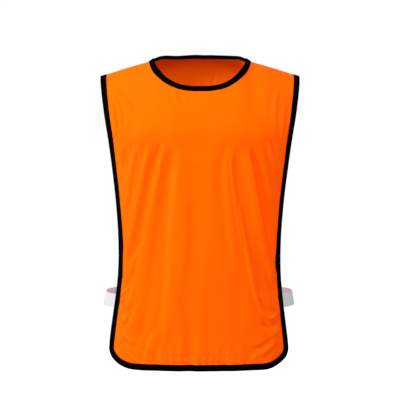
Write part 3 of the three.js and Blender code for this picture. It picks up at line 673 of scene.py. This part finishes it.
# A line on the cloth moved in from an edge, square to it
def insetLine(panel, line, reach, way, step=0.5):
    x, fall = line.T
    centre = plainPoint(panel, x, fall)
    across = (plainPoint(panel, x + step, fall) - centre) / step
    along = (plainPoint(panel, x, fall + step) - centre) / step
    tangent = np.gradient(line, axis=0)
    shear = (across * along).sum(-1)
    inX = way * -(shear * tangent[:, 0] + (along ** 2).sum(-1) * tangent[:, 1])
    inFall = way * ((across ** 2).sum(-1) * tangent[:, 0] + shear * tangent[:, 1])
    for end in (0, -1):
        inX[end], inFall[end] = way * math.copysign(1, x[end]), 0
    length = np.linalg.norm(across * inX[:, None] + along * inFall[:, None], axis=-1)
    return np.stack([x + inX * reach / length, fall + inFall * reach / length], -1)


def evenEdge(panel, edge, spacing):
    line = wholeEdge(panel[edge])
    count = round(lengthOf(panel, line) / spacing)
    return placesAt(panel, line, np.linspace(0, 1, count + 1))


def onCloth(panel, places):
    x, fall = places.T
    return clothPoint(panel, x, fall), normalOf(clothPoint, panel, x, fall)


# Points of the cloth and their normals at each reach of a section, and the way out past the edge
def edgeFrames(panel, edge, section):
    line = evenEdge(panel, edge, tape["station"])
    frames = {}
    for reach in sorted({row[0] for row in section}):
        frames[reach] = onCloth(panel, insetLine(panel, line, reach, inwards[edge]) if reach else line)
    frames["out"] = unit(frames[0][0] - frames[tape["flat"]][0])
    return frames


def tapeMesh(name, frames, section, isClosed=False):
    count = len(frames["out"])
    along = lengthsAlong(frames[0][0])
    drift = tape["drift"] * np.sin(along / tape["driftLength"])
    pucker = tape["pucker"] * np.sin(2 * math.pi * along / tape["puckerLength"] + drift)
    low, high = tape["puckerBand"]
    rows = []
    for reach, lift, past in section:
        points, normals = frames[reach]
        swell = pucker * (low < reach < high and abs(lift) > tapeNear + 0.1)  # the faces that show
        lifts = lift + math.copysign(1, lift) * swell
        rows.append(points + normals * lifts[:, None] + frames["out"] * past)
    points = np.stack(rows, 1)
    sides = len(section)
    ring = np.arange(count * sides).reshape(count, sides)
    after = np.roll(ring, -1, axis=0) if isClosed else ring[1:]
    before = ring if isClosed else ring[:-1]
    corners = [before, after, np.roll(after, -1, axis=1), np.roll(before, -1, axis=1)]
    faces = np.stack(corners, -1).reshape(-1, 4).tolist()
    if not isClosed:
        faces += [ring[0].tolist(), ring[-1, ::-1].tolist()]
    uvs = np.stack(np.broadcast_arrays(along[:, None] / uvSpan, lengthsAlong(points[0])[None] / uvSpan), -1)
    piece = meshObject(name, points.reshape(-1, 3), faces, uvs.reshape(-1, 2))
    finishMesh(piece)
    return piece


# Frames all round the neck, from those of its two halves
def joinFrames(front, back):
    out = {}
    for key in front:
        if key == "out":
            out[key] = np.concatenate([front[key], back[key][-2:0:-1]])
        else:
            out[key] = tuple(np.concatenate([a, b[-2:0:-1]]) for a, b in zip(front[key], back[key]))
    last = len(front["out"]) - 1
    for i in (0, last):  # over a shoulder seam the tape lies on both panels
        for key, value in out.items():
            for part in ([value] if key == "out" else value):
                part[i, 1] = 0
        out["out"][i] = unit(out["out"][i])
    return out


# Thread: each stitch is a short thick-middled bead that dips into the cloth at its ends
stitch = {"pitch": 3.1, "length": 2.3, "radius": 0.26, "rowReach": 9.0}

# Its rings: place along it as a share of its length, width and lift as shares of its radius
stitchShape = [(-0.5, 0.0, -0.5), (-0.42, 0.75, -0.1), (0.0, 1.0, 0.25), (0.42, 0.75, -0.1), (0.5, 0.0, -0.5)]


def stitchesMesh(name, centres, normals, tangents, form=stitch, sides=6):
    tangents = unit(tangents)
    across = unit(np.cross(tangents, normals))
    rings = []
    for along, wide, lift in stitchShape:
        for k in range(sides if wide else 1):
            turn = 2 * math.pi * k / sides
            side = wide * form["radius"] * math.cos(turn)
            up = wide * form["radius"] * math.sin(turn) + lift * form["radius"]
            rings.append(centres + tangents * along * form["length"] + across * side + normals * up)
    points = np.stack(rings, 1)
    perStitch = points.shape[1]
    faces = []  # of one stitch: a cap at each end and two bands between its three rings
    for k in range(sides):
        n = (k + 1) % sides
        faces.append([0, 1 + n, 1 + k])
        for ring in range(2):
            a, b = 1 + ring * sides, 1 + (ring + 1) * sides
            faces.append([a + k, a + n, b + n, b + k])
        faces.append([1 + 2 * sides + k, 1 + 2 * sides + n, 1 + 3 * sides])
    allFaces = [[i * perStitch + v for v in face] for i in range(len(centres)) for face in faces]
    uvs = np.tile(np.linspace(0, 1, perStitch)[None, :, None], (len(centres), 1, 2)).reshape(-1, 2)
    piece = meshObject(name, points.reshape(-1, 3), allFaces, uvs)
    finishMesh(piece, angle=80)
    return piece


# Centres, normals and tangents of the stitches along an edge, on both faces of its tape
def seamRow(panel, edge):
    line = evenEdge(panel, edge, stitch["pitch"])
    line = 0.5 * (line[1:] + line[:-1])
    points, normals = onCloth(panel, insetLine(panel, line, stitch["rowReach"], inwards[edge])[1:-1])
    tangents = np.gradient(points, axis=0)
    outside = (points + normals * tapeFar, normals, tangents)
    inside = (points - normals * tapeFar, -normals, tangents)
    return [np.concatenate(pair) for pair in zip(outside, inside)]


print("form ready")


# Colours

def linear(hexColour):
    channels = [int(hexColour[i:i + 2], 16) / 255 for i in (1, 3, 5)]
    return [c / 12.92 if c <= 0.04045 else ((c + 0.055) / 1.055) ** 2.4 for c in channels] + [1.0]


def addNode(tree, kind, settings=None, links=None):
    node = tree.nodes.new(kind)
    for key, value in (settings or {}).items():
        if isinstance(key, str) and hasattr(node, key):
            setattr(node, key, value)
        else:
            node.inputs[key].default_value = value
    for key, source in (links or {}).items():
        tree.links.new(source, node.inputs[key])
    return node


# A material whose shader has these values all over
def newMaterial(name, values):
    material = bpy.data.materials.new(name)
    material.use_nodes = True
    shader = material.node_tree.nodes["Principled BSDF"]
    for socket, value in values.items():
        shader.inputs[socket].default_value = value
    return material, material.node_tree, shader


# Colours a surface from low to high by one pattern and raises it by another
def paintAndRaise(tree, shader, low, high, share, relief, height):
    colour = addNode(tree, "ShaderNodeMix", {"data_type": "RGBA", 6: low, 7: high}, {"Factor": share})
    bump = addNode(tree, "ShaderNodeBump", relief, {"Height": height})
    tree.links.new(colour.outputs[2], shader.inputs["Base Color"])
    tree.links.new(bump.outputs["Normal"], shader.inputs["Normal"])


# Two waves that cross on a piece's own map, each with its axis and its length in mm
def crossingWaves(tree, form, lengths):
    place = addNode(tree, "ShaderNodeUVMap", {"uv_map": "clothMap"})
    split = addNode(tree, "ShaderNodeSeparateXYZ", links={0: place.outputs[0]})
    waves = []
    for axis, length in lengths:
        turns = {"operation": "MULTIPLY", 1: 2 * math.pi * uvSpan / length}
        turn = addNode(tree, "ShaderNodeMath", turns, {0: split.outputs[axis]})
        waves.append(addNode(tree, "ShaderNodeMath", {"operation": form}, {0: turn.outputs[0]}).outputs[0])
    return waves


# Knitted polyester mesh: staggered eyelets between loops of a smooth bright yarn, with a fluorescent dye,
# whose brightness is painted in as a glow, a painted light that keeps the orange bright under any lamp.
# The real eyelets lie about 2 mm apart, which is too fine to show, so these lie about 3 mm apart
knit = {
    "colour": "#ff7202",
    # painted shade: the eyelets are coloured darker, as shade in the holes
    "paintedHoleShadeColour": "#d94c00",
    "holeAcross": 2.1,  # half the way between two holes of a row
    "holeDown": 2.0,  # from one row of holes to the next
    "hole": {"interpolation_type": "SMOOTHSTEP", "From Min": 0.35, "From Max": 0.75},
    # how dark the painted shade in the eyelets is, varying at random over the cloth
    "shade": {"From Min": 0.3, "From Max": 0.7, "To Min": 0.35, "To Max": 0.55},
    "relief": {"Strength": 0.35, "Distance": 0.35 * mm, "invert": True},
    "unevenness": {"Scale": 9.0, "Detail": 3.0},
    "roughness": {"To Min": 0.34, "To Max": 0.48},
    "specular": 0.28,
    "glossColour": "#ffc800",
    # painted glow: the cloth gives off this colour itself, a painted light standing in for the fluorescent
    # dye
    "glowColour": "#ff2800",
    "glow": 0.45,
    "insideGlowPaintedShade": 0.04,  # painted shade: the inside face glows far less, as it lies in shade
}


def knittedMesh(name, glow):
    material, tree, shader = newMaterial(name, {
        "IOR": 1.5,
        "Specular IOR Level": knit["specular"],
        "Specular Tint": linear(knit["glossColour"]),
        "Emission Color": linear(knit["glowColour"]),
        "Emission Strength": glow,
    })
    waves = crossingWaves(tree, "COSINE", (("X", 2 * knit["holeAcross"]), ("Y", 2 * knit["holeDown"])))
    lattice = addNode(tree, "ShaderNodeMath", {"operation": "MULTIPLY"}, {0: waves[0], 1: waves[1]})
    hole = addNode(tree, "ShaderNodeMapRange", knit["hole"], {"Value": lattice.outputs[0]})
    where = addNode(tree, "ShaderNodeTexCoord")
    uneven = addNode(tree, "ShaderNodeTexNoise", knit["unevenness"], {"Vector": where.outputs["Object"]})
    shade = addNode(tree, "ShaderNodeMapRange", knit["shade"], {"Value": uneven.outputs["Fac"]})
    gloss = addNode(tree, "ShaderNodeMapRange", knit["roughness"], {"Value": uneven.outputs["Fac"]})
    tree.links.new(gloss.outputs["Result"], shader.inputs["Roughness"])
    # painted shade: the eyelets are darkened, more in some places than in others
    both = {0: hole.outputs["Result"], 1: shade.outputs["Result"]}
    holeShadeAmount = addNode(tree, "ShaderNodeMath", {"operation": "MULTIPLY"}, both)
    yarn, shadow = linear(knit["colour"]), linear(knit["paintedHoleShadeColour"])
    paintAndRaise(tree, shader, yarn, shadow, holeShadeAmount.outputs[0], knit["relief"], hole.outputs["Result"])
    return material


# Black knitted binding tape: fine ribs along its length, of a dull spun yarn, with painted shade darkening
# the grooves between them
tapeKnit = {
    "name": "blackBindingKnit",
    "form": "SINE",
    "rib": 1.1,
    "bar": 1.4,
    "barShare": 0.35,
    "paintedGrooveShade": "#030303",
    "colour": "#090a0a",
    "relief": {"Strength": 0.5, "Distance": 0.2 * mm},
    "surface": {"Roughness": 0.9, "Specular IOR Level": 0.01},
}

# Woven elastic: round rubber cords run along it under a light grey polyester weft, which shows as fine bars,
# and a faint glow is painted in, a painted light standing in for the whitener in its yarn
elasticWeave = {
    "name": "lightGreyWovenElastic",
    "form": "COSINE",
    "rib": 1.5,
    "bar": 1.1,
    "barShare": 0.6,
    # painted shade: the low parts between cords and bars are coloured darker
    "paintedGrooveShade": "#acadae",
    "colour": "#c6c6c6",
    "relief": {"Strength": 0.5, "Distance": 0.25 * mm},
    "surface": {
        "Roughness": 0.7,
        "Specular IOR Level": 0.2,
        # painted glow: the elastic gives off faint light of its own
        "Emission Color": linear("#f4f4ff"),
        "Emission Strength": 0.3,
    },
}


# Ribs along a narrow band, crossed by bars, both with lengths in mm, and painted shade that darkens the low
# parts between them
def ribbedBand(band):
    material, tree, shader = newMaterial(band["name"], band["surface"])
    ribs, bars = crossingWaves(tree, band["form"], (("Y", band["rib"]), ("X", band["bar"])))
    share = band["barShare"]
    relief = addNode(tree, "ShaderNodeMath", {"operation": "MULTIPLY_ADD", 1: share}, {0: bars, 2: ribs})
    span = {"From Min": -1 - share, "From Max": 1 + share}
    height = addNode(tree, "ShaderNodeMapRange", span, {"Value": relief.outputs[0]}).outputs["Result"]
    # painted shade: the low parts take the darker colour
    groove, top = linear(band["paintedGrooveShade"]), linear(band["colour"])
    paintAndRaise(tree, shader, groove, top, height, band["relief"], height)
    return material


# Spun polyester sewing thread: a slight twist shows along each stitch, raised by a bump and painted darker in
# its low parts as shade
thread = {
    "black": "#101214",
    "orange": "#ff7a10",
    "twistShade": 0.8,  # share of its colour
    "twist": {"Scale": 1800.0, "Detail": 2.0},
    "relief": {"Strength": 0.4, "Distance": 0.1 * mm},
    "roughness": 0.6,
}


def sewingThread(name, colour):
    material, tree, shader = newMaterial(name, {"Roughness": thread["roughness"]})
    where = addNode(tree, "ShaderNodeTexCoord").outputs["Object"]
    twist = addNode(tree, "ShaderNodeTexNoise", thread["twist"], {"Vector": where}).outputs["Fac"]
    pale = linear(colour)
    # painted shade: the low parts of the twist take the darker colour
    dark = [c * thread["twistShade"] for c in pale[:3]] + [1]
    paintAndRaise(tree, shader, dark, pale, twist, thread["relief"], twist)
    return material


# the outer face glows as painted light, the inner face far less as painted shade
meshPaintedGlow = knittedMesh("fluorescentKnitPaintedGlow", knit["glow"])
meshInsidePaintedShade = knittedMesh("fluorescentKnitInsidePaintedShade", knit["insideGlowPaintedShade"])
tapeFinish = ribbedBand(tapeKnit)
elasticFinish = ribbedBand(elasticWeave)
blackThread = sewingThread("blackSewingThread", thread["black"])
orangeThread = sewingThread("orangeOverlockThread", thread["orange"])
print("materials ready")


# Puts a finished piece on the frame
def settle(piece, material, node=None):
    if material:
        piece.data.materials.append(material)
    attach(piece, "root")
    if node:
        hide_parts(node)


for panel in (frontPanel, backPanel):
    panel["outer"], panel["neck"] = outerStretches(panel), neckStretches(panel)

frontCloth = panelPiece("frontCloth", frontPanel)
backCloth = panelPiece("backCloth", backPanel)
settle(frontCloth, None, "front_panel")
settle(backCloth, None, "back_panel")
print("panels made")

edgeSection, neckSection = tapeSection(tape["edgeWidth"]), tapeSection(tape["neckWidth"])
frontEdgeTape = tapeMesh("frontEdgeTape", edgeFrames(frontPanel, "outer", edgeSection), edgeSection)
backEdgeTape = tapeMesh("backEdgeTape", edgeFrames(backPanel, "outer", edgeSection), edgeSection)
neckFrames = joinFrames(*(edgeFrames(panel, "neck", neckSection) for panel in (frontPanel, backPanel)))
neckTape = tapeMesh("neckTape", neckFrames, neckSection, isClosed=True)
settle(frontEdgeTape, tapeFinish, "front_edge_binding")
settle(backEdgeTape, tapeFinish, "back_edge_binding")
settle(neckTape, tapeFinish, "neck_binding")
print("tapes folded")

frontEdgeStitches = stitchesMesh("frontEdgeStitches", *seamRow(frontPanel, "outer"))
backEdgeStitches = stitchesMesh("backEdgeStitches", *seamRow(backPanel, "outer"))
neckRows = [np.concatenate(pair) for pair in zip(seamRow(frontPanel, "neck"), seamRow(backPanel, "neck"))]
neckStitches = stitchesMesh("neckStitches", *neckRows)
for piece in (frontEdgeStitches, backEdgeStitches, neckStitches):
    settle(piece, blackThread)
print("tapes stitched")

# Overlocked shoulder seams: slanting loops of thread over the cut edges, on the inside
overlock = {"from": 110, "to": 193, "pitch": 1.7, "slant": 0.45, "depth": 0.22, "length": 5.2, "radius": 0.3}


def shoulderLoops():
    reach = np.arange(overlock["from"], overlock["to"], overlock["pitch"])
    lean = np.where(np.arange(len(reach)) % 2 == 0, 1, -1) * overlock["slant"]
    x = np.concatenate([reach, -reach])
    fall = np.full(len(x), cloth["seamGap"] / 2)
    front, back = clothPoint(frontPanel, x, fall), clothPoint(backPanel, x, fall)
    down = -unit(sum(normalOf(clothPoint, panel, x, fall + 1) for panel in (frontPanel, backPanel)))
    way = back - front
    along = unit(np.gradient(front, axis=0))
    way = unit(way - down * (way * down).sum(-1, keepdims=True))
    way = unit(way + along * np.concatenate([lean, lean])[:, None])
    return (front + back) / 2 + down * (cloth["thickness"] / 2 + overlock["depth"]), down, way


shoulderStitches = stitchesMesh("shoulderStitches", *shoulderLoops(), form=overlock)
settle(shoulderStitches, orangeThread)
print("shoulders overlocked")

# Side straps of flat elastic, which go in under the tape at both ends
strap = {
    "level": -494,
    "height": 27,
    "thickness": 1.5,
    "overlap": 9.5,
    "tapeRoom": 1.3,  # for the tape between cloth and strap
    "clearance": 0.4,
    "seatFrom": 0.45,  # shares of the way to the cloth's edge between which it goes in under the tape
    "seatTo": 0.92,
    "cells": 72,
    "ribs": 18,
    "softEdge": 0.4,
}


# Places on the round section of the bib, whose front has a turn above 0
def strapLine(turn, level):
    depth = np.where(turn > 0, depthAt(frontPanel, 0.0, level), depthAt(backPanel, 0.0, level))
    power = 2 / cloth["shoulderPower"]
    x = sectionHalfWidthAt(level) * np.cos(turn) ** power
    y = np.where(turn > 0, -1, 1) * depth * np.abs(np.sin(turn)) ** power
    return np.stack([x, y, np.broadcast_to(level, x.shape)], -1)


# Turn at which the section is this far from the middle
def turnAt(x, level):
    return math.acos((x / float(sectionHalfWidthAt(level))) ** (cloth["shoulderPower"] / 2))


def strapPiece(name, side):
    level = np.array(float(strap["level"]))
    clothEdge = float(halfWidthAt(level))
    edgeTurn, endTurn = turnAt(clothEdge, level), turnAt(clothEdge - strap["overlap"], level)
    seat = cloth["thickness"] / 2 + strap["tapeRoom"] + strap["clearance"] + strap["thickness"] / 2
    turn = np.linspace(endTurn, -endTurn, strap["cells"] + 1)[None, :]
    down = np.linspace(0.5, -0.5, strap["ribs"] + 1)[:, None]
    turn, heights = np.broadcast_arrays(turn, strap["level"] + strap["height"] * down)
    little = 0.01
    along = strapLine(turn - little, heights) - strapLine(turn + little, heights)
    outward = unit(np.stack([along[..., 1], -along[..., 0], np.zeros_like(turn)], -1))
    seated = smoothStep(strap["seatFrom"] * edgeTurn, strap["seatTo"] * edgeTurn, np.abs(turn))
    points = strapLine(turn, heights) - outward * (seat * seated)[..., None]
    points = points * np.array([side, 1, 1]) + np.array([float(swayAt(strap["level"])), 0, 0])
    length = lengthsAlong(points[0])
    uvs = np.stack(np.broadcast_arrays(length[None, :] / uvSpan, (0.5 - down) * strap["height"] / uvSpan), -1)
    piece = meshObject(name, points.reshape(-1, 3), gridFaces(*turn.shape).tolist(), uvs.reshape(-1, 2))
    thicken(piece, strap["thickness"])
    soft = piece.modifiers.new("softEdge", "BEVEL")
    soft.width = strap["softEdge"] * mm
    soft.segments = 2
    soft.limit_method = "ANGLE"
    bpy.ops.object.modifier_apply(modifier=soft.name)
    finishMesh(piece)
    return piece, float(length[-1])


for name, side, node in (("leftElastic", -1, "left_strap"), ("rightElastic", 1, "right_strap")):
    piece, strapLength = strapPiece(name, side)
    settle(piece, elasticFinish, node)
print("straps made")

# Round floor of pale paper that brightens to the white of the studio towards its rim
floor = {"level": -1.5, "radius": 5.0, "corners": 96, "paleFrom": 0.8, "palest": 4.6, "colour": "#f2f2f2"}


def makeFloor():
    bpy.ops.object.select_all(action="DESELECT")
    bpy.ops.mesh.primitive_circle_add(vertices=floor["corners"], radius=floor["radius"], fill_type="NGON",
                                      location=(0, 0, floor["level"]))
    paper = bpy.context.object
    paper.name = "paperFloor"
    paper.visible_diffuse = False  # its bright rim gives the bib no light
    paper.visible_glossy = False
    material, tree, shader = newMaterial("whiteFloorPaper", {
        "Base Color": linear(floor["colour"]),
        "Emission Color": linear("#ffffff"),
        "Roughness": 0.9,
        "Specular IOR Level": 0.1,
    })
    where = addNode(tree, "ShaderNodeTexCoord")
    reach = addNode(tree, "ShaderNodeVectorMath", {"operation": "LENGTH"}, {0: where.outputs["Object"]})
    spread = {"From Min": floor["paleFrom"], "From Max": floor["palest"]}
    rim = addNode(tree, "ShaderNodeMapRange", spread, {"Value": reach.outputs["Value"]})
    tree.links.new(rim.outputs["Result"], shader.inputs["Emission Strength"])
    paper.data.materials.append(material)


makeFloor()

# Each lamp: place, width and height in metres, power in watts, and whether the yarn shines it back
lamps = {
    "key": ((-2.25, -1.5, 1.6), 0.5, 0.5, 62, False),
    "front": ((0.22, -2.52, 1.76), 0.6, 0.6, 43, False),
    "side": ((-2.85, -1.4, 0.0), 0.3, 1.6, 22, True),
    "backKey": ((-2.2, 1.9, 1.4), 0.5, 0.5, 56, False),
    "backSide": ((-2.6, 1.8, 0.0), 0.3, 1.6, 14, False),
    "backFill": ((0.9, 2.7, 1.3), 0.8, 0.8, 30, False),
    "right": ((3.1, 0.6, 0.3), 0.4, 1.4, 7, False),
}
studio = {"aim": (0.0, 0.0, -0.3), "ambient": 0.2, "backdrop": 1.0}


def pointAt(thing, target):
    back = np.array(thing.location) - np.array(target)
    tilt = math.atan2(math.hypot(back[0], back[1]), back[2])
    thing.rotation_euler = (tilt, 0, math.atan2(back[0], -back[1]))


for name, (place, width, height, power, gloss) in lamps.items():
    light = bpy.data.lights.new(name, "AREA")
    light.shape = "RECTANGLE"
    light.size, light.size_y = width, height
    light.energy = power
    lamp = bpy.data.objects.new(name, light)
    bpy.context.collection.objects.link(lamp)
    lamp.location = place
    lamp.visible_glossy = gloss
    pointAt(lamp, studio["aim"])

# White all round to the eye, and a much weaker even light on the bib
world = bpy.data.worlds.new("paleStudio")
bpy.context.scene.world = world
world.use_nodes = True
sky = world.node_tree
background = sky.nodes["Background"]
background.inputs["Color"].default_value = (1, 1, 1, 1)
seen = addNode(sky, "ShaderNodeLightPath")
levelsOfLight = {"To Min": studio["ambient"], "To Max": studio["backdrop"]}
strength = addNode(sky, "ShaderNodeMapRange", levelsOfLight, {"Value": seen.outputs["Is Camera Ray"]})
unseen = addNode(sky, "ShaderNodeMath", {"operation": "SUBTRACT", 0: 1.0}, {1: seen.outputs["Is Glossy Ray"]})
both = {0: strength.outputs["Result"], 1: unseen.outputs[0]}
even = addNode(sky, "ShaderNodeMath", {"operation": "MULTIPLY"}, both)
sky.links.new(even.outputs[0], background.inputs["Strength"])
bpy.context.scene.view_settings.view_transform = "Standard"

lens = bpy.data.cameras.new("photoCamera")
eye = bpy.data.objects.new("photoCamera", lens)
bpy.context.collection.objects.link(eye)
away, rise = camera["distance"], math.radians(camera["elevation"])
eye.location = (0, -away * math.cos(rise), camera["aim"][2] + away * math.sin(rise))
pointAt(eye, camera["aim"])
lens.sensor_width = 36
lens.lens = lens.sensor_width * camera["distance"] / camera["metresWide"]
lens.shift_x = camera["shift"]
bpy.context.scene.camera = eye
print("studio ready")
